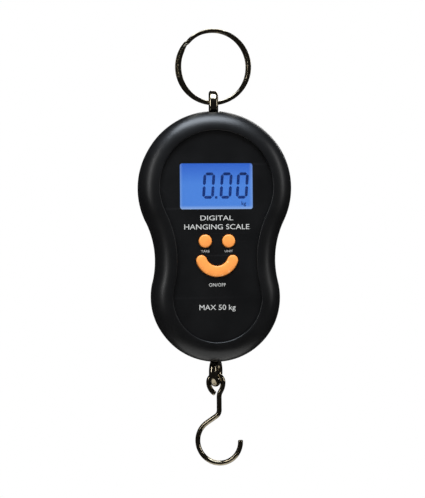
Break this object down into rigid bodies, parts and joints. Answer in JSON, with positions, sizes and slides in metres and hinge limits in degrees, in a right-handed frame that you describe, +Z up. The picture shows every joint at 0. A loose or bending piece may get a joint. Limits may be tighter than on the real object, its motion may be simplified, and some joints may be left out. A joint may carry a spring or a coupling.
{
  "type": "digital hanging scale",
  "caption": "Pocket hanging scale: a black figure-8 case with a backlit display and push buttons, a split ring above and a swivelling wire hook below.",
  "frame": {"origin": "centre of the split ring that the scale is held by", "axes": "+Z up along the load line, the face looks along -Y, +X is to the right seen from the front"},
  "size_m": [0.07, 0.0265, 0.2007],
  "materials": {
    "plated_steel": "polished nickel plate",
    "zinc_steel": "bright zinc",
    "black_steel": "black oxide",
    "case_black": "satin moulded ABS",
    "window_clear": "clear polycarbonate",
    "display_glass": "backlit blue",
    "light_guide": "blue acrylic",
    "frame_white": "moulded",
    "rubber_grey": "matte",
    "board_green": "solder mask on glass epoxy",
    "chip_black": "epoxy",
    "can_aluminium": "drawn cans",
    "beam_aluminium": "milled",
    "gauge_foil": "foil on film",
    "cable_grey": "PVC",
    "lead_red": "PVC",
    "lead_black": "PVC",
    "turned_brass": "turned",
    "nylon_white": "nylon",
    "cell_wrap": "shrink sleeve",
    "button_orange": "satin moulded",
    "print_white": "screen print",
    "segment_blue": "display segments"
  },
  "bodies": {
    "ring": {"split_ring": "plated_steel"},
    "case": {"front_cover": "case_black", "back_cover": "case_black", "display_window": "window_clear", "lcd_panel": "display_glass", "backlight": "light_guide", "display_frame": "frame_white", "zebra_strips": "rubber_grey", "circuit_board": "board_green", "controller_chip": "chip_black", "board_capacitors": "can_aluminium", "tact_switches": "zinc_steel", "load_cell": "beam_aluminium", "strain_gauges": "gauge_foil", "sensor_cable": "cable_grey", "top_eye_bolt": "plated_steel", "top_lock_nut": "zinc_steel", "draw_rod": "zinc_steel", "rod_lock_nuts": "zinc_steel", "swivel_cup": "turned_brass", "thrust_washer": "nylon_white", "battery_cells": "cell_wrap", "battery_springs": "zinc_steel", "battery_contacts": "zinc_steel", "red_lead": "lead_red", "black_lead": "lead_black", "load_cell_screws": "zinc_steel", "board_screws": "zinc_steel", "case_screws": "black_steel"},
    "lower_eye": {"bottom_eye_bolt": "plated_steel", "swivel_collar": "zinc_steel"},
    "hook": {"weighing_hook": "plated_steel"},
    "tare_button": {"tare_button": "button_orange"},
    "unit_button": {"unit_button": "button_orange"},
    "power_button": {"power_button": "button_orange"},
    "battery_door": {"battery_door": "case_black"}
  },
  "joints": [
    {"name": "ring_pivot", "type": "hinge", "parent": "ring", "child": "case", "pos_m": [0, 0, -0.01665], "axis": [1, 0, 0], "range_deg": [-100, 100]},
    {"name": "eye_swivel", "type": "hinge", "parent": "case", "child": "lower_eye", "pos_m": [0, 0, -0.1315], "axis": [0, 0, 1], "continuous": true},
    {"name": "hook_swing", "type": "hinge", "parent": "lower_eye", "child": "hook", "pos_m": [0, 0, -0.14155], "axis": [0.9455, -0.3256, 0], "range_deg": [-60, 60]},
    {"name": "tare_button_press", "type": "slide", "parent": "case", "child": "tare_button", "axis": [0, 1, 0], "range_m": [0, 0.0005], "stiffness_N_per_m": 600, "springref_m": -0.001},
    {"name": "unit_button_press", "type": "slide", "parent": "case", "child": "unit_button", "axis": [0, 1, 0], "range_m": [0, 0.0005], "stiffness_N_per_m": 600, "springref_m": -0.001},
    {"name": "power_button_press", "type": "slide", "parent": "case", "child": "power_button", "axis": [0, 1, 0], "range_m": [0, 0.0005], "stiffness_N_per_m": 600, "springref_m": -0.001},
    {"name": "door_slide", "type": "slide", "parent": "case", "child": "battery_door", "axis": [0, 0, -1], "range_m": [0, 0.008]}
  ]
}
